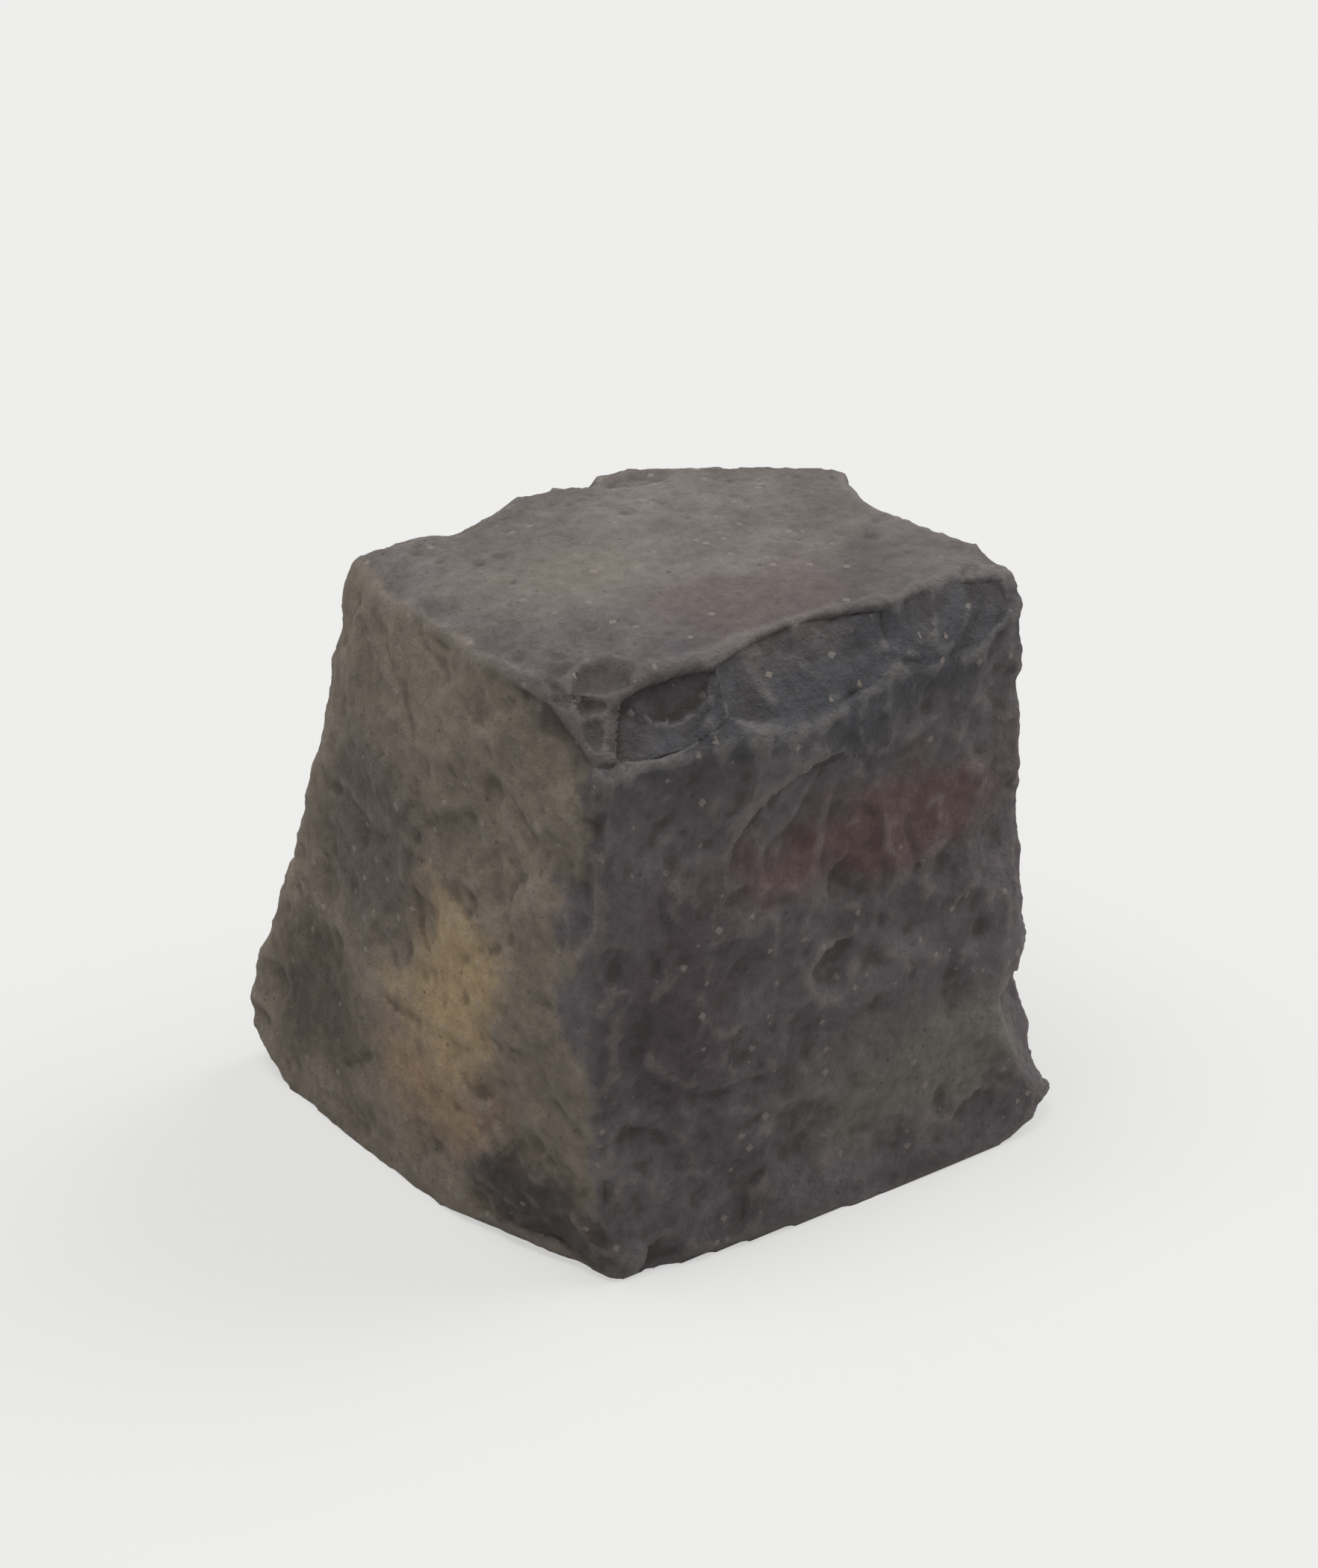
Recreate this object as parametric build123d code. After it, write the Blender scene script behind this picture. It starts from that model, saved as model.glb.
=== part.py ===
from build123d import *
import os
from math import cos, radians, sin, sqrt

# Hewn paving sett: one roughly cubic block of dark natural stone, standing on its flat bed.
# Its four sides were split by hand, so each is a little out of square and swells, and together
# they lean in to a smaller, crowned head. Blows have knocked off corners, and flakes have split
# away along the edges. The origin is the middle of the stone's plan, on the bed, with +Z up and
# the front side facing -Y.

# Three outlines carry the block: the bed, the belly about halfway up and the head.
# Lengths run left to right and widths front to back, in millimetres, through each middle.
height = 110.0  # bed to the top of the crown
bed_length = 99.5
bed_width = 100.0
belly_height = 56.0
belly_length = 92.0
belly_width = 91.0
belly_shift_x = -4.0  # the belly's middle from the bed's middle
belly_shift_y = -3.0
head_length = 84.5
head_width = 76.0
head_shift_x = -0.8  # the head's middle from the bed's middle
head_shift_y = -8.0

# How far each side is turned out of square in plan, in degrees
bed_front_turn = -2.5
bed_right_turn = 2.5
bed_back_turn = -1.5
bed_left_turn = 4.5
belly_front_turn = -0.5
belly_right_turn = 0.5
belly_back_turn = -0.5
belly_left_turn = -1.0
head_front_turn = 0.5
head_right_turn = -1.5
head_back_turn = 0.5
head_left_turn = -4.0

# How far the middle of each side swells out past its two arrises
front_swell = 3.2
right_swell = 2.0
back_swell = 2.0
left_swell = 6.5

# Worn edges: the radius of the upright arrises, and of the edge round the head
bed_arris_radius = 3.0
belly_arris_radius = 4.0
head_arris_radius = 5.0
head_edge_radius = 2.5

# The head is worn to a shallow dome, highest at the crown
crown_radius = 280.0
crown_x = 0.0  # the crown from the bed's middle
crown_y = -20.0

# Corners knocked off: how far each break reaches along the level edges, and up or down the arris
heel_break_along = 12.0  # left back corner of the bed
heel_break_up = 8.0
toe_break_along = 18.0  # right front corner of the bed
toe_break_up = 6.0
brow_break_along = 14.0  # left front corner of the head
brow_break_down = 8.5
nape_break_right = 22.0  # right back corner of the head
nape_break_back = 30.0
nape_break_down = 6.5
temple_break_along = 7.0  # right front corner of the head
temple_break_down = 10.0

# Flake scars: shallow round hollows, each with its width and depth
waist_width = 50.0  # on the right front arris, above the toe
waist_depth = 7.0
waist_height = 31.0
undercut_width = 44.0  # along the foot of the left side
undercut_depth = 1.5
undercut_from_arris = 30.0
nick_width = 24.0  # on the back edge of the head, near its left corner
nick_depth = 1.8
nick_from_arris = 26.0
dent_width = 40.0  # on the right edge of the head, towards its back corner
dent_depth = 5.0
dent_from_arris = 38.0


def side_line(x, y, angle):
    """A side's line in plan, as a point on it and its direction."""
    return Vector(x, y), Vector(cos(radians(angle)), sin(radians(angle)))


def crossing(first, second):
    """Where two lines in plan meet."""
    (p, d), (q, e) = first, second
    across = d.X * e.Y - d.Y * e.X
    return p + d * (((q.X - p.X) * e.Y - (q.Y - p.Y) * e.X) / across)


def corners(level, length, width, middle, turns):
    """The four corners of an outline, front left first and then anticlockwise."""
    front_turn, right_turn, back_turn, left_turn = turns
    x, y = middle
    front = side_line(x, y - width / 2, front_turn)
    right = side_line(x + length / 2, y, 90 + right_turn)
    back = side_line(x, y + width / 2, 180 + back_turn)
    left = side_line(x - length / 2, y, 270 + left_turn)
    pairs = ((left, front), (front, right), (right, back), (back, left))
    return [crossing(a, b) + Vector(0, 0, level) for a, b in pairs]


bed_corners = corners(
    0,
    bed_length,
    bed_width,
    (0, 0),
    (bed_front_turn, bed_right_turn, bed_back_turn, bed_left_turn),
)
belly_corners = corners(
    belly_height,
    belly_length,
    belly_width,
    (belly_shift_x, belly_shift_y),
    (belly_front_turn, belly_right_turn, belly_back_turn, belly_left_turn),
)
head_corners = corners(
    height,
    head_length,
    head_width,
    (head_shift_x, head_shift_y),
    (head_front_turn, head_right_turn, head_back_turn, head_left_turn),
)
FRONT_LEFT, FRONT_RIGHT, BACK_RIGHT, BACK_LEFT = range(4)
UP = Vector(0, 0, 1)


def swelling_sides(points):
    """The four arcs between an outline's corners: front, right, back and left."""
    swells = (front_swell, right_swell, back_swell, left_swell)
    ends = points[1:] + points[:1]
    return [SagittaArc(a, b, -swell) for a, b, swell in zip(points, ends, swells)]


def outline(points, arris_radius):
    """A face with four swelling sides and rounded corners."""
    face = make_face(Wire(swelling_sides(points)))
    return fillet(face.vertices(), arris_radius)


def before(points, corner, distance):
    """The place on an outline at a distance before one of its corners."""
    side = swelling_sides(points)[corner - 1]
    return side.position_at(side.length - distance, position_mode=PositionMode.LENGTH)


def after(points, corner, distance):
    """The place on an outline at a distance after one of its corners."""
    side = swelling_sides(points)[corner]
    return side.position_at(distance, position_mode=PositionMode.LENGTH)


def arris_point(corner, level):
    """A point on an upright arris, at a height above the bed."""
    bed, belly, head = bed_corners[corner], belly_corners[corner], head_corners[corner]
    if level < belly_height:
        return bed + (belly - bed) * (level / belly_height)
    return belly + (head - belly) * ((level - belly_height) / (height - belly_height))


def on_dome(point):
    """The place on the dome above or below a point."""
    aside = Vector(point.X - crown_x, point.Y - crown_y)
    level = height - crown_radius + sqrt(crown_radius**2 - aside.length**2)
    return Vector(point.X, point.Y, level)


def away(point):
    """The level direction from the stone's axis to a point."""
    return Vector(point.X, point.Y).normalized()


def ball(centre, radius, towards):
    """A sphere whose seam lies away from the stretch that meets the stone."""
    side = Vector(1, 0, 0) if abs(towards.Z) > abs(towards.X) else Vector(0, 0, 1)
    return Plane(origin=centre, x_dir=-towards, z_dir=towards.cross(side)) * Sphere(radius)


def knocked(stone, places):
    """Takes off what lies beyond the plane through three places on the edges."""
    a, b, c = places
    normal = (b - a).cross(c - a).normalized()
    inside = Vector(0, 0, height / 2)
    if normal.dot(inside - a) < 0:
        normal = -normal
    return split(stone, Plane(origin=a, z_dir=normal), keep=Keep.TOP)


def bed_break(stone, corner, along, up):
    """A corner of the bed, knocked off."""
    edges = [before(bed_corners, corner, along), after(bed_corners, corner, along)]
    return knocked(stone, [*edges, arris_point(corner, up)])


def head_break(stone, corner, along_before, along_after, down):
    """A corner of the head, knocked off."""
    edges = [before(head_corners, corner, along_before), after(head_corners, corner, along_after)]
    top = on_dome(head_corners[corner])
    return knocked(stone, [*map(on_dome, edges), arris_point(corner, top.Z - down)])


def scar(stone, place, towards, width, depth):
    """A round hollow of that width and depth, where a flake has split off."""
    radius = (width**2 / 4 + depth**2) / (2 * depth)
    return stone - ball(place + towards * (radius - depth), radius, -towards)


# The block as it was split, then its head worn to a dome with a rounded edge
stone = loft(
    [
        outline(bed_corners, bed_arris_radius),
        outline(belly_corners, belly_arris_radius),
        outline(head_corners, head_arris_radius),
    ]
)
stone &= ball(Vector(crown_x, crown_y, height - crown_radius), crown_radius, UP)
dome = stone.faces().sort_by(Axis.Z)[-1]
stone = fillet(dome.edges(), head_edge_radius)

# The knocked corners
stone = bed_break(stone, BACK_LEFT, heel_break_along, heel_break_up)
stone = bed_break(stone, FRONT_RIGHT, toe_break_along, toe_break_up)
stone = head_break(stone, FRONT_LEFT, brow_break_along, brow_break_along, brow_break_down)
stone = head_break(stone, BACK_RIGHT, nape_break_right, nape_break_back, nape_break_down)
stone = head_break(stone, FRONT_RIGHT, temple_break_along, temple_break_along, temple_break_down)

# The flake scars
waist = arris_point(FRONT_RIGHT, waist_height)
stone = scar(stone, waist, away(waist), waist_width, waist_depth)
nick = on_dome(before(head_corners, BACK_LEFT, nick_from_arris))
stone = scar(stone, nick, (away(nick) + UP).normalized(), nick_width, nick_depth)
dent = on_dome(before(head_corners, BACK_RIGHT, dent_from_arris))
stone = scar(stone, dent, (away(dent) + UP).normalized(), dent_width, dent_depth)
undercut = before(bed_corners, FRONT_LEFT, undercut_from_arris)
stone = scar(stone, undercut, (away(undercut) - UP).normalized(), undercut_width, undercut_depth)

# The origin goes to the middle of the finished stone's plan
middle = stone.bounding_box().center()
stone = Pos(-middle.X, -middle.Y, 0) * stone

os.makedirs("parts", exist_ok=True)
export_step(stone, "parts/paving_stone.step")
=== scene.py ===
import math

import bpy
import numpy as np
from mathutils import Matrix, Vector, kdtree, noise


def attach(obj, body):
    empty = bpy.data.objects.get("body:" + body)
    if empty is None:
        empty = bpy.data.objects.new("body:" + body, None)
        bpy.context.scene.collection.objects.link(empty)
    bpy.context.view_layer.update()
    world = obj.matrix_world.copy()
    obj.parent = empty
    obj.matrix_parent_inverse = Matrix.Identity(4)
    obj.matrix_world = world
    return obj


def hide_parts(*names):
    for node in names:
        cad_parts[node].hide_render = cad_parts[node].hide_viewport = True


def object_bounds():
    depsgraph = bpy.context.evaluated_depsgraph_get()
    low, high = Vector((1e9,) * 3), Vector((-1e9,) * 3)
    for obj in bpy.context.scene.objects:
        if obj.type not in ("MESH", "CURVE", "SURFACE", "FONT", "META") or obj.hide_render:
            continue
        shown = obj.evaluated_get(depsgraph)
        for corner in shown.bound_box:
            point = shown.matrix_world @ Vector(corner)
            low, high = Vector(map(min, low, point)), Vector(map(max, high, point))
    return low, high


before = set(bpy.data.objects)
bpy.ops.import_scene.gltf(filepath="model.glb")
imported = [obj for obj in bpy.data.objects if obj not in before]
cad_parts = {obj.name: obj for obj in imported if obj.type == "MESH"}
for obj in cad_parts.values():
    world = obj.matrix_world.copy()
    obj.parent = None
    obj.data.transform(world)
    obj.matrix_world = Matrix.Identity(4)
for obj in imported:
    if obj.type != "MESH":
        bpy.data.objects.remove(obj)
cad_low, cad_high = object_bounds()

# A hewn paving sett: one block of dark volcanic stone with split sides, a worn head and knocked
# corners. The block's form is the solid's. This script corrects a few of its edges, roughens its
# skin as splitting, chipping and wear leave it, and gives it the stone's colours.

MM = 0.001
NODE = "paving_stone"
RANDOM_SEED = 11

# The camera: a long lens that looks down on the left front arris
VIEW_AZIMUTH = -36.5  # degrees round from the front side
VIEW_ELEVATION = 27.5  # degrees above the floor
VIEW_DISTANCE = 913 * MM
AIM_HEIGHT = 61.3 * MM  # where the lens points, on the stone's axis
LENS = 120.0
SENSOR_LONG_SIDE = 36.0

# The light: an even pale room, a wide softbox overhead and a weaker one to the right.
# A level is the share of the floor's full brightness that the light gives.
ROOM_LEVEL = 0.26
OVERHEAD_LEVEL = 0.42
OVERHEAD_SPREAD = 40.0  # degrees across, as the stone sees it
OVERHEAD_AZIMUTH = -115.0
OVERHEAD_ELEVATION = 73.0
SIDE_LEVEL = 0.32
SIDE_SPREAD = 45.0
SIDE_AZIMUTH = 80.0
SIDE_ELEVATION = 45.0
FLOOR_COLOUR = "#f0f0ef"
FLOOR_BOUNCE = "#c0c0c0"  # what the floor throws back at the stone
FLOOR_GLOW = 0.62  # the share of the floor's brightness that no shadow takes away
FLOOR_REACH = 4.0  # metres from the stone to the floor's edge

# The skin is an even mesh of small squares. Easing draws its points together a number of turns.
MESH_CELL = 0.82 * MM
FACING_TURNS = 12  # for the way that the skin faces at large
HOLLOW_TURNS = 12  # for the small hollows and ridges
ARRIS_TURNS = 40  # for the arrises, which stand proud of the eased skin
ARRIS_PROUD = 0.35 * MM
FULL_HOLLOW = 0.3 * MM  # how far a hollow lies in where it counts in full
SIDE_SLOPE = 0.6  # the most that a side's normal rises or falls
HEAD_SLOPE = 0.8  # the least that the head's normal rises
WORN_SLOPES = (0.6, 0.9)  # how steeply the normal rises where wear begins and where it is full

# The flake scars. Each kind has its number, the range of its widths and depths from the commonest
# to the rarest, and how far it may tilt out of the skin.
SPLIT_SCARS = {"count": 80, "widths": (20 * MM, 50 * MM), "depths": (0.6 * MM, 2.0 * MM), "tilt": 0.05}
HEWN_SCARS = {"count": 900, "widths": (5 * MM, 20 * MM), "depths": (0.3 * MM, 1.4 * MM), "tilt": 0.08}
SPALL_SCARS = {"count": 2400, "widths": (2.4 * MM, 7 * MM), "depths": (0.10 * MM, 0.42 * MM), "tilt": 0.10}
WORN_DISHES = {"count": 30, "widths": (14 * MM, 36 * MM), "depths": (0.3 * MM, 0.7 * MM), "tilt": 0.03}
EDGE_CHIPS = {"count": 220, "widths": (3 * MM, 13 * MM), "depths": (0.3 * MM, 1.6 * MM), "tilt": 0.25}
HEAD_PITS = {"count": 160, "widths": (1.6 * MM, 4.5 * MM), "depths": (0.2 * MM, 0.7 * MM), "tilt": 0.10}
SCAR_FULLNESS = (0.6, 1.0)  # the share of its depth that a scar may have
DEEPEST_SCAR = 2.0 * MM
WIDE_RARITY = 2  # the power that makes wide scars rarer than narrow ones

# Large flakes gone from the head's front edge: where each one's middle was, which way it faced,
# and how wide and deep it was, in mm
EDGE_FLAKES = {
    "at the brow": ((-30, -45, 106), (-0.2, -0.9, 0.5), 30, 3.2),
    "in the middle": ((-4, -46, 108), (0.0, -0.9, 0.5), 46, 4.0),
    "towards the temple": ((24, -46, 107), (0.1, -0.9, 0.45), 34, 3.0),
}

# Places that stand a little fuller than the solid: the middle, which way it swells, how far the
# swell reaches and how high it is, in mm
SWELLS = {
    "left foot": ((-48, -24, 4), (-0.9, -0.4, 0.0), 28, 3.0),
    "heel": ((-50, 46, 12), (-0.6, 0.8, 0.0), 18, 2.2),
    "back left corner of the head": ((-42, 29, 105), (-0.6, 0.5, 0.6), 16, 1.9),
    "temple": ((42, -43, 92), (0.9, -0.3, 0.0), 18, 2.2),
}

# Places on the right front arris that are worn soft: the middle and reach, in mm, and how many
# turns of easing each one gets
WORN_SOFT = {
    "hollow at the waist": ((49.5, -50, 30), 26, 40),
    "top edge of that hollow": ((48, -49, 40), 14, 150),
}

# Splitting left broad swells, cut into the ledges of clefts, and fine grit
CLEFT_SIZE = 34 * MM
CLEFT_SWELL = 1.6 * MM
CLEFT_RISE = 0.8 * MM  # from one ledge to the next
CLEFT_WORN_AWAY = 0.7  # the share that wear takes from the head
LEDGE_EDGE = (0.35, 0.65)  # where the step between two ledges starts and ends
GRIT_SIZE = 2.4 * MM
GRIT_HEIGHT = 0.22 * MM
GRIT_WORN_AWAY = 0.2
OCTAVES = 3
OCTAVE_STEP = 2.0  # how much finer each octave is than the one before
OCTAVE_FALL = 1.0  # how fast the finer ones grow shallower
CLEFT_SHIFT = Vector((3.1, 0, 0))  # places in the pattern, so that the two differ
GRIT_SHIFT = Vector((0, 7.7, 0))

# The relief fades at the box that the stone stays in, and at the bed
BOX_FADE = 2 * MM
BED_FADE = 3 * MM
BED_RELIEF = 0.35  # the share that is left on the bed


def direction(azimuth, elevation):
    """The way from the stone to a place at that azimuth, round from the front, and elevation."""
    around, above = math.radians(azimuth), math.radians(elevation)
    level = math.cos(above)
    return Vector((math.sin(around) * level, -math.cos(around) * level, math.sin(above)))


def link(thing):
    """Puts an object into the scene."""
    bpy.context.scene.collection.objects.link(thing)
    return thing


def linear(hex_colour):
    """An sRGB hex colour as the linear colour that a shader takes."""
    shares = [int(hex_colour[i : i + 2], 16) / 255 for i in (1, 3, 5)]
    curved = [s / 12.92 if s <= 0.04045 else ((s + 0.055) / 1.055) ** 2.4 for s in shares]
    return (*curved, 1.0)


def add_node(tree, kind, settings=None, values=None, links=None):
    """Adds a node with its own settings, its sockets' values and the links into its sockets."""
    node = tree.nodes.new(kind)
    for name, value in (settings or {}).items():
        setattr(node, name, value)
    for socket, value in (values or {}).items():
        node.inputs[socket].default_value = value
    for socket, source in (links or {}).items():
        tree.links.new(source, node.inputs[socket])
    return node


def new_material(name):
    """An empty node material with its output, as (material, tree, output)."""
    material = bpy.data.materials.new(name)
    material.use_nodes = True
    tree = material.node_tree
    tree.nodes.clear()
    return material, tree, add_node(tree, "ShaderNodeOutputMaterial")


# Camera, light and floor


def make_camera():
    """The camera, at the photograph's viewing angle."""
    lens = bpy.data.cameras.new("camera")
    lens.lens = LENS
    lens.sensor_width = SENSOR_LONG_SIDE
    camera = link(bpy.data.objects.new("camera", lens))
    back = direction(VIEW_AZIMUTH, VIEW_ELEVATION)
    camera.location = Vector((0, 0, AIM_HEIGHT)) + back * VIEW_DISTANCE
    camera.rotation_euler = back.to_track_quat("Z", "Y").to_euler()
    bpy.context.scene.camera = camera


def make_softbox(name, level, spread, azimuth, elevation):
    """A wide, even, far light that gives the floor that share of its full brightness."""
    lamp = bpy.data.lights.new(name, "SUN")
    towards = direction(azimuth, elevation)
    lamp.energy = level * math.pi / towards.z
    lamp.angle = math.radians(spread)
    softbox = link(bpy.data.objects.new(name, lamp))
    softbox.rotation_euler = towards.to_track_quat("Z", "Y").to_euler()


def make_room():
    """The pale room's own even light."""
    world = bpy.data.worlds.new("room")
    bpy.context.scene.world = world
    world.use_nodes = True
    tree = world.node_tree
    tree.nodes.clear()
    air = add_node(tree, "ShaderNodeBackground", values={"Strength": ROOM_LEVEL})
    add_node(tree, "ShaderNodeOutputWorld", links={"Surface": air.outputs["Background"]})


def make_floor():
    """A sheet of matt white card that fills the view, with a light of its own that thins the shadow."""
    mesh = bpy.data.meshes.new("floor")
    corners = [(x * FLOOR_REACH, y * FLOOR_REACH, 0) for x, y in ((-1, -1), (1, -1), (1, 1), (-1, 1))]
    mesh.from_pydata(corners, [], [(0, 1, 2, 3)])
    floor = link(bpy.data.objects.new("floor", mesh))
    material, tree, output = new_material("matt_white_card")
    path = add_node(tree, "ShaderNodeLightPath")
    seen = path.outputs["Is Camera Ray"]
    for other in ("Is Glossy Ray", "Is Transmission Ray"):
        either = add_node(
            tree,
            "ShaderNodeMath",
            {"operation": "MAXIMUM"},
            links={0: seen, 1: path.outputs[other]},
        )
        seen = either.outputs["Value"]
    colour = add_node(
        tree,
        "ShaderNodeMix",
        {"data_type": "RGBA"},
        {6: linear(FLOOR_BOUNCE), 7: linear(FLOOR_COLOUR)},
        {0: seen},
    )
    card = add_node(tree, "ShaderNodeBsdfDiffuse", links={"Color": colour.outputs[2]})
    glow = add_node(tree, "ShaderNodeEmission", values={"Color": linear(FLOOR_COLOUR)})
    share = add_node(
        tree,
        "ShaderNodeMath",
        {"operation": "MULTIPLY"},
        {1: FLOOR_GLOW},
        {0: seen},
    )
    lit = add_node(
        tree,
        "ShaderNodeMixShader",
        links={0: share.outputs["Value"], 1: card.outputs["BSDF"], 2: glow.outputs["Emission"]},
    )
    tree.links.new(lit.outputs["Shader"], output.inputs["Surface"])
    mesh.materials.append(material)


# The stone's skin


def even_copy(name):
    """The solid's skin, copied as an even mesh of small squares."""
    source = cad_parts[NODE]
    copy = link(bpy.data.objects.new(name, source.data.copy()))
    squares = copy.modifiers.new("squares", "REMESH")
    squares.mode = "VOXEL"
    squares.voxel_size = MESH_CELL
    graph = bpy.context.evaluated_depsgraph_get()
    mesh = bpy.data.meshes.new_from_object(copy.evaluated_get(graph))
    copy.modifiers.clear()
    copy.data = mesh
    mesh.name = name
    mesh.materials.clear()
    mesh.shade_smooth()
    return copy


def read_places(mesh):
    """Where the mesh's points are, one row each."""
    places = np.empty(len(mesh.vertices) * 3)
    mesh.vertices.foreach_get("co", places)
    return places.reshape(-1, 3)


def write_places(mesh, places):
    """Moves the mesh's points."""
    mesh.vertices.foreach_set("co", places.ravel())
    mesh.update()


def read_normals(mesh):
    """Which way the skin faces at each point."""
    normals = np.empty(len(mesh.vertices) * 3)
    mesh.vertices.foreach_get("normal", normals)
    return normals.reshape(-1, 3)


def read_edges(mesh):
    """The pairs of points that the mesh's edges join."""
    edges = np.empty(len(mesh.edges) * 2, int)
    mesh.edges.foreach_get("vertices", edges)
    return edges.reshape(-1, 2)


def eased(places, edges, turns):
    """The points, each drawn halfway to the mean of its neighbours, a number of times."""
    ways = np.bincount(edges.ravel(), minlength=len(places))
    for _ in range(turns):
        total = np.zeros_like(places)
        np.add.at(total, edges[:, 0], places[edges[:, 1]])
        np.add.at(total, edges[:, 1], places[edges[:, 0]])
        places = (places + total / ways[:, None]) / 2
    return places


def neighbourhood(places):
    """A tree that finds the points near a place."""
    tree = kdtree.KDTree(len(places))
    for i, place in enumerate(places):
        tree.insert(place, i)
    tree.balance()
    return tree


def flake_scars(tree, places, normals, among, chance, count, widths, depths, tilt):
    """The depth at each point of many round flake scars, whose ridges are left where they meet."""
    scars = np.zeros(len(places))
    for _ in range(count):
        i = chance.choice(among)
        outward = normals[i] + chance.normal(0, tilt, 3)
        outward /= np.linalg.norm(outward)
        size = chance.random() ** WIDE_RARITY
        width = widths[0] + (widths[1] - widths[0]) * size
        depth = (depths[0] + (depths[1] - depths[0]) * size) * chance.uniform(*SCAR_FULLNESS)
        radius = (width**2 / 4 + depth**2) / (2 * depth)
        centre = places[i] + outward * (radius - depth)
        near = [index for _, index, _ in tree.find_range(places[i], width)]
        deep = radius - np.linalg.norm(places[near] - centre, axis=1)
        scars[near] = np.maximum(scars[near], deep)
    return np.minimum(scars, DEEPEST_SCAR)


def nearness(places, middle, reach):
    """How near each point is to a place: 1 there, and next to nothing past twice the reach."""
    far = np.linalg.norm(places - np.array(middle) * MM, axis=1) / (reach * MM)
    return np.exp(-(far**2))[:, None]


def softened(places, edges, middle, reach, turns):
    """The points, with those about a place drawn together."""
    return places + (eased(places, edges, turns) - places) * nearness(places, middle, reach)


def swelled(places, middle, outward, reach, rise):
    """The points, with those about a place pushed outward."""
    return places + nearness(places, middle, reach) * np.array(outward) * rise * MM


def split_off(places, middle, outward, width, depth):
    """Draws the points under a large flake straight back to the round scar that it leaves."""
    outward = np.array(outward) / np.linalg.norm(outward)
    radius = (width**2 / 4 + depth**2) / (2 * depth) * MM
    centre = np.array(middle) * MM + outward * (radius - depth * MM)
    away = places - centre
    along = away @ outward
    aside = np.linalg.norm(away - along[:, None] * outward, axis=1)
    bottom = -np.sqrt(np.maximum(radius**2 - aside**2, 0))
    drop = np.where(np.linalg.norm(away, axis=1) < radius, bottom - along, 0)
    return places + drop[:, None] * outward


def fractal(places, size, shift):
    """A rough height at each point, about -1 to 1, whose broadest bumps are of that size."""
    spots = [Vector(place / size) + shift for place in places]
    return np.array([noise.fractal(spot, OCTAVE_FALL, OCTAVE_STEP, OCTAVES) for spot in spots])


def smooth_step(values, low, high):
    """0 below low, 1 above high, and a smooth rise between."""
    t = np.clip((values - low) / (high - low), 0, 1)
    return t * t * (3 - 2 * t)


def ledges(heights, rise):
    """The heights drawn together into flat ledges, each that far above the next."""
    steps = heights / rise
    below = np.floor(steps)
    return (below + smooth_step(steps - below, *LEDGE_EDGE)) * rise


def corrected(places, edges):
    """The solid's points, softened, swelled and flaked where the real stone is."""
    for place in WORN_SOFT.values():
        places = softened(places, edges, *place)
    for swell in SWELLS.values():
        places = swelled(places, *swell)
    for flake in EDGE_FLAKES.values():
        places = split_off(places, *flake)
    return places


def all_scars(places, edges, normals):
    """The depth at each point of every kind of scar, on the sides, the head and the arrises."""
    chance = np.random.default_rng(RANDOM_SEED)
    tree = neighbourhood(places)
    proud = ((places - eased(places, edges, ARRIS_TURNS)) * normals).sum(1)
    every = np.arange(len(places))
    sides = every[np.abs(normals[:, 2]) < SIDE_SLOPE]
    head = every[normals[:, 2] > HEAD_SLOPE]
    arrises = every[proud > ARRIS_PROUD]
    split = flake_scars(tree, places, normals, sides, chance, **SPLIT_SCARS)
    hewn = flake_scars(tree, places, normals, sides, chance, **HEWN_SCARS)
    spalls = flake_scars(tree, places, normals, sides, chance, **SPALL_SCARS)
    dishes = flake_scars(tree, places, normals, head, chance, **WORN_DISHES)
    chips = flake_scars(tree, places, normals, arrises, chance, **EDGE_CHIPS)
    pits = flake_scars(tree, places, normals, head, chance, **HEAD_PITS)
    return np.maximum(np.maximum(split, dishes) + hewn, chips) + spalls + pits


def roughened(places, edges, normals):
    """The points, moved in and out along their normals by clefts, grit and scars."""
    worn = smooth_step(normals[:, 2], *WORN_SLOPES)
    clefts = ledges(CLEFT_SWELL * fractal(places, CLEFT_SIZE, CLEFT_SHIFT), CLEFT_RISE)
    grit = GRIT_HEIGHT * fractal(places, GRIT_SIZE, GRIT_SHIFT)
    height = clefts * (1 - CLEFT_WORN_AWAY * worn) + grit * (1 - GRIT_WORN_AWAY * worn)
    height -= all_scars(places, edges, normals)
    height -= height.mean()
    low, high = np.array(cad_low), np.array(cad_high)
    room = np.minimum(places - low, high - places).min(1)
    height = np.where(height > 0, height * smooth_step(room, 0, BOX_FADE), height)
    height *= BED_RELIEF + (1 - BED_RELIEF) * smooth_step(places[:, 2], 0, BED_FADE)
    return np.clip(places + normals * height[:, None], low, high)


def make_stone():
    """The stone with its split and worn skin, which notes its hollows and the way it faces."""
    stone = even_copy("hewn_sett")
    mesh = stone.data
    edges = read_edges(mesh)
    places = corrected(read_places(mesh), edges)
    write_places(mesh, places)
    normals = read_normals(mesh)
    facing = eased(normals, edges, FACING_TURNS)
    facing /= np.linalg.norm(facing, axis=1)[:, None]
    places = roughened(places, edges, normals)
    write_places(mesh, places)

    inward = eased(places, edges, HOLLOW_TURNS) - places
    hollow = np.clip((inward * read_normals(mesh)).sum(1) / FULL_HOLLOW, -1, 1)
    mesh.attributes.new("hollow", "FLOAT", "POINT").data.foreach_set("value", hollow)
    mesh.attributes.new("facing", "FLOAT_VECTOR", "POINT").data.foreach_set("vector", facing.ravel())
    return stone


# The stone's colours

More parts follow.
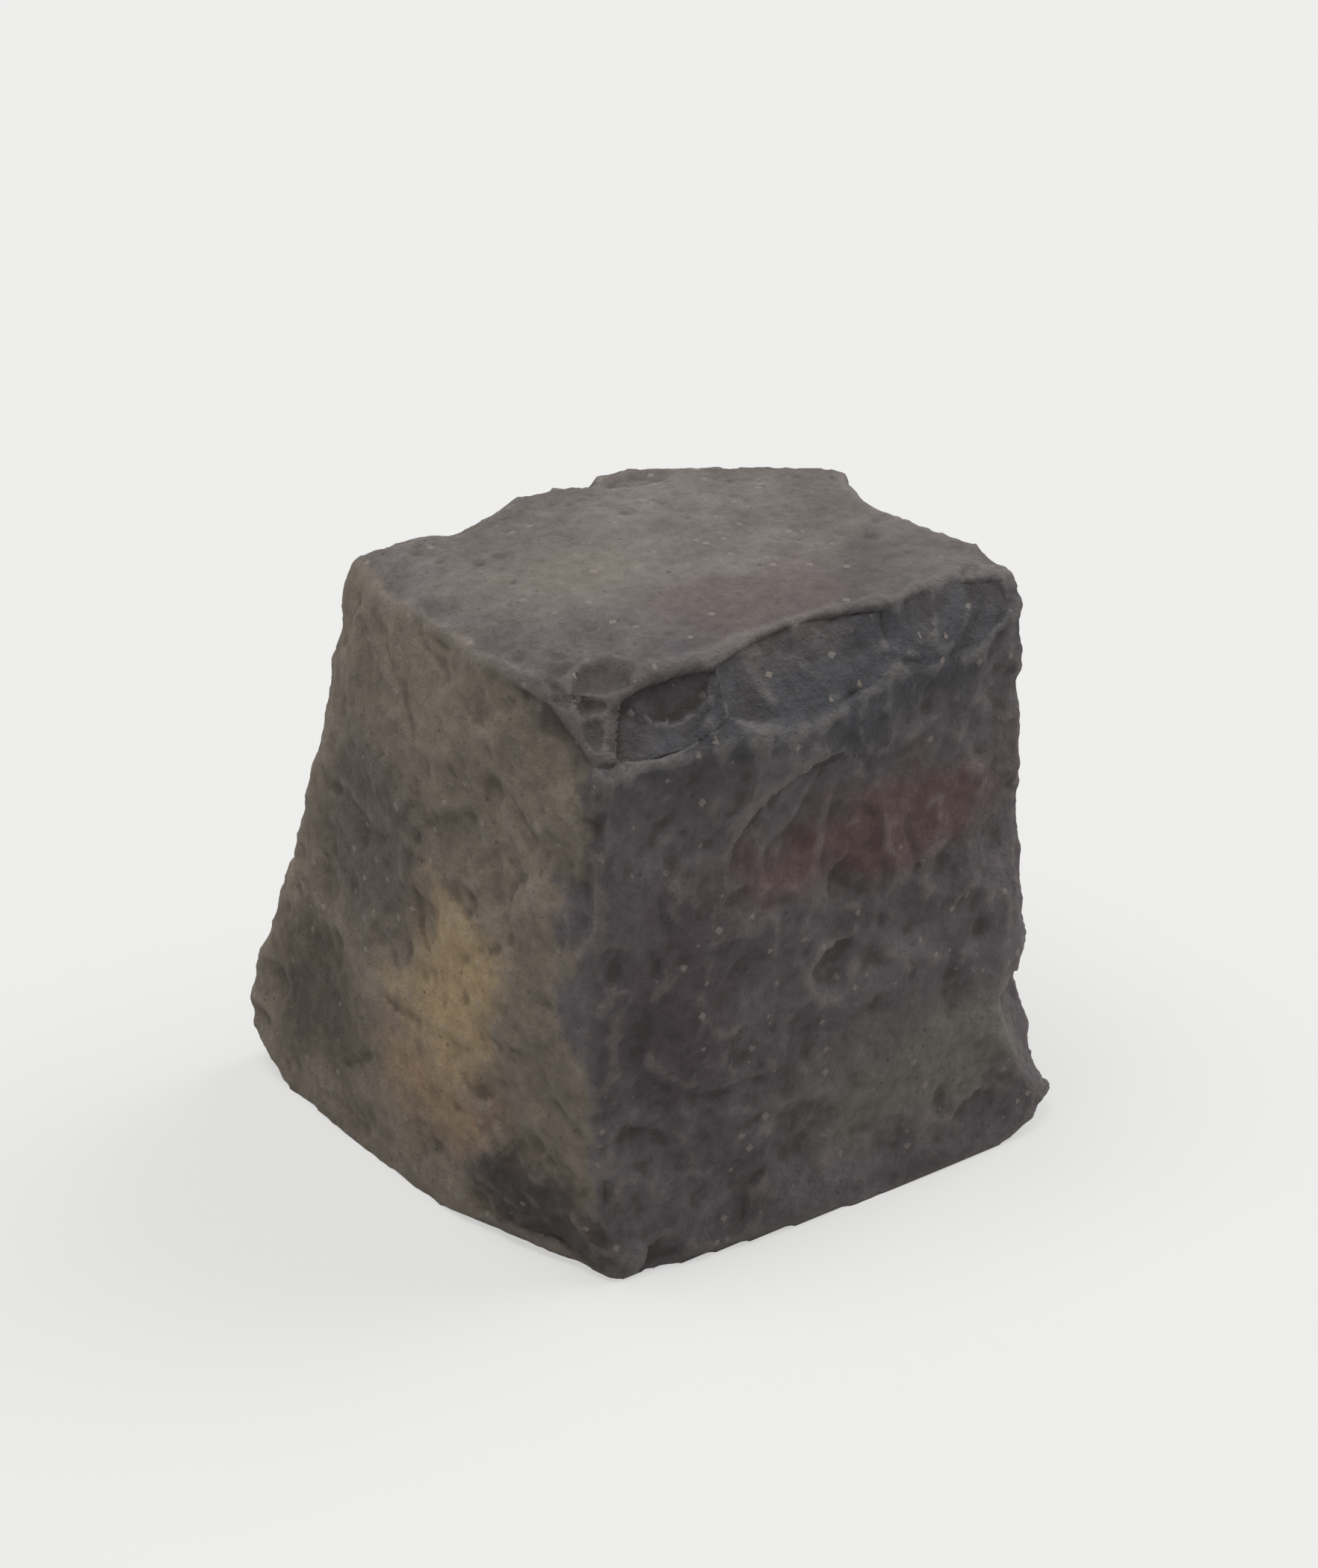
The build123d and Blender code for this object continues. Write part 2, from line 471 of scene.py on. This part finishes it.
FRESH_DARK = "#605859"  # the fine violet-grey stone between the crystals
FRESH_LIGHT = "#797172"
RIND_DARK = "#7f7466"  # the olive-brown skin of a side that has long lain open
RIND_LIGHT = "#978a7b"
DUST_DARK = "#7a726c"  # the trodden head
DUST_LIGHT = "#8d857e"
IOR = 1.54  # of feldspar and quartz
ROUGHNESS = (0.92, 0.72)  # of the dullest and the smoothest mottles

# Real sizes of the stone's patterns
CLOUD_SIZE = 14 * MM  # clouds in the groundmass, the rind and the dust
CLOUD_CONTRAST = {"From Min": 0.32, "From Max": 0.68}
RIND_PATCH_SIZE = 45 * MM
WANDER_SIZE = 17 * MM  # the bays in the edges of stains, dust and rind
WANDER_REACH = 34 * MM
MOTTLE_SIZE = 2.5 * MM
MOTTLE_SWING = 0.26  # how much lighter or darker a mottle may be
MOTTLE_RELIEF = 1.1 * MM
GRAIN_SIZE = 0.7 * MM  # drawn a few times coarser than the real grain, so that it shows
GRAIN_RELIEF = 0.4 * MM

# The rind lies where the skin faces left, and a little where it faces back. It stops short of the
# left front arris, between these two places from front to back.
RIND_FACING = (-0.55, 0.12, 0.0)
RIND_FROM_Y = -49 * MM
RIND_FULL_Y = -40 * MM
RIND_LOSS = -0.5  # what it loses at the arris
RIND_CONTRAST = {"From Min": 0.58, "From Max": 0.86}

# Grains: how far apart each kind lies, its half width as a share of that, the share of places
# that stays empty, its colour and strength
GRAINS = {
    "crystals, about 1.4 mm wide": (4.2 * MM, 0.17, 0.45, "#a89d93", 0.6),
    "dark grains, about 0.8 mm wide": (2.6 * MM, 0.15, 0.55, "#453f40", 0.55),
}
GRAIN_EDGE = 1.5  # where a grain fades out, in half widths

# Dirt and rubbing: the hollowness where each one begins and where it is full, its strength and colour
WEAR = {
    "dirt in the hollows": (0.1, 1.0, 0.45, "#453d36"),
    "rubbed, paler ridges": (-0.25, -1.0, 0.26, "#a29a92"),
}

# The dust on the head: its middle and how far it reaches each way, in mm, and how steeply the
# normal rises where it begins and where it is full
DUST_MIDDLE = (2, 3, 108)
DUST_REACH = (45, 40, 60)
DUST_SLOPES = {"From Min": 0.5, "From Max": 0.92, "To Max": 0.9}

# Where a soft-edged patch ends and where it is full, as shares of its reach
PATCH_EDGE = 1.35
PATCH_CORE = 0.4

# Stains and other darker patches, with painted shade along the left foot and in the chip on the brow:
# where each one's middle is, how far it reaches each way, in mm, its colour and strength
STAINS = {
    "ochre bloom low on the left side": ((-54, -13, 46), (17, 15, 17), "#bda47f", 0.92),
    "rusty patch at the left foot": ((-54, -7, 22), (15, 16, 13), "#ac9177", 0.85),
    # A darker patch in the middle of the left side
    "darker cheek of the left side": ((-52, 14, 62), (14, 18, 20), "#665d58", 0.75),
    # Painted shade: the dark band where the left foot turns under, standing in for its shadow
    "painted shade along the left foot": ((-49, -30, 9), (24, 18, 12), "#4c4542", 0.92),
    "earthy heel": ((-52, 30, 24), (14, 16, 18), "#564b42", 0.8),
    "blue-grey band under the head": ((4, -48, 100), (54, 16, 12), "#4e4f53", 0.92),
    "red vein across the front": ((8, -50, 72), (36, 12, 9), "#715855", 0.8),
    "violet shade beside the front arris": ((-32, -50, 50), (14, 12, 26), "#594e51", 0.85),
    "greenish toe": ((18, -52, 22), (27, 12, 13), "#827d73", 0.8),
    "pale worn patch on the head": ((-22, -3, 108), (22, 16, 10), "#8b8279", 0.6),
    "rosy worn patch on the head": ((-2, -31, 109), (22, 12, 10), "#726461", 0.65),
    # Painted shade: the shadow in the hollow of the chip on the brow
    "painted shade in the chip on the brow": ((-42, -38, 104), (12, 12, 9), "#4f4747", 0.85),
}


def patch_cover(tree, spot, middle, reach, strength):
    """How much a soft-edged patch covers each spot."""
    away = add_node(
        tree,
        "ShaderNodeVectorMath",
        {"operation": "SUBTRACT"},
        {1: [c * MM for c in middle]},
        {0: spot},
    )
    share = add_node(
        tree,
        "ShaderNodeVectorMath",
        {"operation": "DIVIDE"},
        {1: [r * MM for r in reach]},
        {0: away.outputs["Vector"]},
    )
    far = add_node(
        tree,
        "ShaderNodeVectorMath",
        {"operation": "LENGTH"},
        links={0: share.outputs["Vector"]},
    )
    cover = add_node(
        tree,
        "ShaderNodeMapRange",
        {"interpolation_type": "SMOOTHSTEP"},
        {"From Min": PATCH_EDGE, "From Max": PATCH_CORE, "To Max": strength},
        {"Value": far.outputs["Value"]},
    )
    return cover.outputs["Result"]


def make_porphyry():
    """Porphyry, a fine volcanic stone with small crystals, split by hand and long weathered.

    Split faces are matt and dull violet-grey, with pale crystals and dark grains. A side that has
    lain open has an olive-brown rind with stains, and the trodden head is paler and a bit smoother.
    """
    material, tree, output = new_material("split_weathered_porphyry")
    spot = add_node(tree, "ShaderNodeTexCoord").outputs["Object"]
    facing = add_node(tree, "ShaderNodeAttribute", {"attribute_name": "facing"}).outputs["Vector"]
    hollow = add_node(tree, "ShaderNodeAttribute", {"attribute_name": "hollow"}).outputs["Fac"]

    # The groundmass, in clouds
    cloud = add_node(
        tree,
        "ShaderNodeTexNoise",
        values={"Scale": 1 / CLOUD_SIZE, "Detail": 5.0, "Roughness": 0.6},
        links={"Vector": spot},
    )
    cloud_share = add_node(
        tree,
        "ShaderNodeMapRange",
        {"interpolation_type": "SMOOTHSTEP"},
        CLOUD_CONTRAST,
        {"Value": cloud.outputs["Fac"]},
    )
    fresh = add_node(
        tree,
        "ShaderNodeMix",
        {"data_type": "RGBA"},
        {6: linear(FRESH_DARK), 7: linear(FRESH_LIGHT)},
        {0: cloud_share.outputs["Result"]},
    )

    # The edges of stains, dust and rind wander by several millimetres
    wander = add_node(
        tree,
        "ShaderNodeTexNoise",
        values={"Scale": 1 / WANDER_SIZE, "Detail": 4.0, "Roughness": 0.6},
        links={"Vector": spot},
    )
    centred = add_node(
        tree,
        "ShaderNodeVectorMath",
        {"operation": "SUBTRACT"},
        {1: (0.5, 0.5, 0.5)},
        {0: wander.outputs["Color"]},
    )
    drifted = add_node(
        tree,
        "ShaderNodeVectorMath",
        {"operation": "MULTIPLY_ADD"},
        {1: (WANDER_REACH, WANDER_REACH, WANDER_REACH)},
        {0: centred.outputs["Vector"], 2: spot},
    ).outputs["Vector"]

    # The rind, on the left side and in patches elsewhere
    patch = add_node(
        tree,
        "ShaderNodeTexNoise",
        values={"Scale": 1 / RIND_PATCH_SIZE, "Detail": 4.0, "Roughness": 0.55},
        links={"Vector": spot},
    )
    leftward = add_node(
        tree,
        "ShaderNodeVectorMath",
        {"operation": "DOT_PRODUCT"},
        {1: RIND_FACING},
        {0: facing},
    )
    towards_back = add_node(tree, "ShaderNodeSeparateXYZ", links={"Vector": drifted})
    from_arris = add_node(
        tree,
        "ShaderNodeMapRange",
        values={"From Min": RIND_FROM_Y, "From Max": RIND_FULL_Y, "To Min": RIND_LOSS, "To Max": 0.0},
        links={"Value": towards_back.outputs["Y"]},
    )
    on_left = add_node(
        tree,
        "ShaderNodeMath",
        {"operation": "ADD"},
        links={0: from_arris.outputs["Result"], 1: leftward.outputs["Value"]},
    )
    open_side = add_node(
        tree,
        "ShaderNodeMath",
        {"operation": "ADD"},
        links={0: patch.outputs["Fac"], 1: on_left.outputs["Value"]},
    )
    rind_share = add_node(
        tree,
        "ShaderNodeMapRange",
        {"interpolation_type": "SMOOTHSTEP"},
        RIND_CONTRAST,
        {"Value": open_side.outputs["Value"]},
    )
    rind = add_node(
        tree,
        "ShaderNodeMix",
        {"data_type": "RGBA"},
        {6: linear(RIND_DARK), 7: linear(RIND_LIGHT)},
        {0: cloud_share.outputs["Result"]},
    )
    skin = add_node(
        tree,
        "ShaderNodeMix",
        {"data_type": "RGBA"},
        {},
        {0: rind_share.outputs["Result"], 6: fresh.outputs[2], 7: rind.outputs[2]},
    )

    # The head's dust and wear, which thin out towards its margins
    upward = add_node(tree, "ShaderNodeSeparateXYZ", links={"Vector": facing})
    head_share = add_node(
        tree,
        "ShaderNodeMapRange",
        {"interpolation_type": "SMOOTHSTEP"},
        DUST_SLOPES,
        {"Value": upward.outputs["Z"]},
    )
    trodden_share = add_node(
        tree,
        "ShaderNodeMath",
        {"operation": "MULTIPLY"},
        links={
            0: head_share.outputs["Result"],
            1: patch_cover(tree, drifted, DUST_MIDDLE, DUST_REACH, 1.0),
        },
    )
    dust = add_node(
        tree,
        "ShaderNodeMix",
        {"data_type": "RGBA"},
        {6: linear(DUST_DARK), 7: linear(DUST_LIGHT)},
        {0: cloud_share.outputs["Result"]},
    )
    trodden = add_node(
        tree,
        "ShaderNodeMix",
        {"data_type": "RGBA"},
        {},
        {0: trodden_share.outputs["Value"], 6: skin.outputs[2], 7: dust.outputs[2]},
    )
    colour = trodden.outputs[2]

    # The stains, the other darker patches, and the painted shade along the left foot and in the chip on
    # the brow
    for middle, reach, stain, strength in STAINS.values():
        cover = patch_cover(tree, drifted, middle, reach, strength)
        laid = add_node(
            tree,
            "ShaderNodeMix",
            {"data_type": "RGBA"},
            {7: linear(stain)},
            {0: cover, 6: colour},
        )
        colour = laid.outputs[2]

    # Fine mottling, lighter and darker
    mottle = add_node(
        tree,
        "ShaderNodeTexNoise",
        values={"Scale": 1 / MOTTLE_SIZE, "Detail": 6.0, "Roughness": 0.7},
        links={"Vector": spot},
    )
    mottle_level = add_node(
        tree,
        "ShaderNodeMapRange",
        values={
            "From Min": 0.25,
            "From Max": 0.75,
            "To Min": 1 - MOTTLE_SWING,
            "To Max": 1 + MOTTLE_SWING,
        },
        links={"Value": mottle.outputs["Fac"]},
    )
    mottled = add_node(
        tree,
        "ShaderNodeVectorMath",
        {"operation": "SCALE"},
        {},
        {0: colour, "Scale": mottle_level.outputs["Result"]},
    )
    colour = mottled.outputs["Vector"]

    # Crystals and dark grains, each kind in some of its cells
    for cell, size, scarcity, shade, strength in GRAINS.values():
        cells = add_node(
            tree,
            "ShaderNodeTexVoronoi",
            {"distance": "MANHATTAN"},
            {"Scale": 1 / cell},
            {"Vector": spot},
        )
        inside = add_node(
            tree,
            "ShaderNodeMapRange",
            {"interpolation_type": "SMOOTHSTEP"},
            {"From Min": GRAIN_EDGE * size, "From Max": size, "To Max": strength},
            {"Value": cells.outputs["Distance"]},
        )
        chosen = add_node(
            tree,
            "ShaderNodeMath",
            {"operation": "GREATER_THAN"},
            {1: scarcity},
            {0: cells.outputs["Color"]},
        )
        here = add_node(
            tree,
            "ShaderNodeMath",
            {"operation": "MULTIPLY"},
            links={0: inside.outputs["Result"], 1: chosen.outputs["Value"]},
        )
        laid = add_node(
            tree,
            "ShaderNodeMix",
            {"data_type": "RGBA"},
            {7: linear(shade)},
            {0: here.outputs["Value"], 6: colour},
        )
        colour = laid.outputs[2]

    # Dirt in the hollows and rubbed, paler ridges, both uneven as the mottling is
    for low, high, strength, shade in WEAR.values():
        level = add_node(
            tree,
            "ShaderNodeMapRange",
            {"interpolation_type": "SMOOTHSTEP"},
            {"From Min": low, "From Max": high, "To Max": strength},
            {"Value": hollow},
        )
        deep = add_node(
            tree,
            "ShaderNodeMath",
            {"operation": "MULTIPLY"},
            links={0: level.outputs["Result"], 1: mottle_level.outputs["Result"]},
        )
        laid = add_node(
            tree,
            "ShaderNodeMix",
            {"data_type": "RGBA"},
            {7: linear(shade)},
            {0: deep.outputs["Value"], 6: colour},
        )
        colour = laid.outputs[2]

    # The rough grain, and a surface that is smoother on some mottles
    grain = add_node(
        tree,
        "ShaderNodeTexNoise",
        values={"Scale": 1 / GRAIN_SIZE, "Detail": 3.0, "Roughness": 0.65},
        links={"Vector": spot},
    )
    bump = add_node(
        tree,
        "ShaderNodeBump",
        values={"Strength": 0.9, "Distance": GRAIN_RELIEF},
        links={"Height": grain.outputs["Fac"]},
    )
    bump = add_node(
        tree,
        "ShaderNodeBump",
        values={"Strength": 0.8, "Distance": MOTTLE_RELIEF},
        links={"Height": mottle.outputs["Fac"], "Normal": bump.outputs["Normal"]},
    )
    matt = add_node(
        tree,
        "ShaderNodeMapRange",
        values={"From Min": 0.3, "From Max": 0.7, "To Min": ROUGHNESS[0], "To Max": ROUGHNESS[1]},
        links={"Value": mottle.outputs["Fac"]},
    )
    body = add_node(
        tree,
        "ShaderNodeBsdfPrincipled",
        values={"IOR": IOR},
        links={
            "Base Color": colour,
            "Roughness": matt.outputs["Result"],
            "Normal": bump.outputs["Normal"],
        },
    )
    tree.links.new(body.outputs["BSDF"], output.inputs["Surface"])
    return material


bpy.context.scene.view_settings.view_transform = "Standard"
make_camera()
make_room()
make_softbox("overhead_softbox", OVERHEAD_LEVEL, OVERHEAD_SPREAD, OVERHEAD_AZIMUTH, OVERHEAD_ELEVATION)
make_softbox("side_softbox", SIDE_LEVEL, SIDE_SPREAD, SIDE_AZIMUTH, SIDE_ELEVATION)
make_floor()

stone = make_stone()
stone.data.materials.append(make_porphyry())
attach(stone, "root")
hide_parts(NODE)
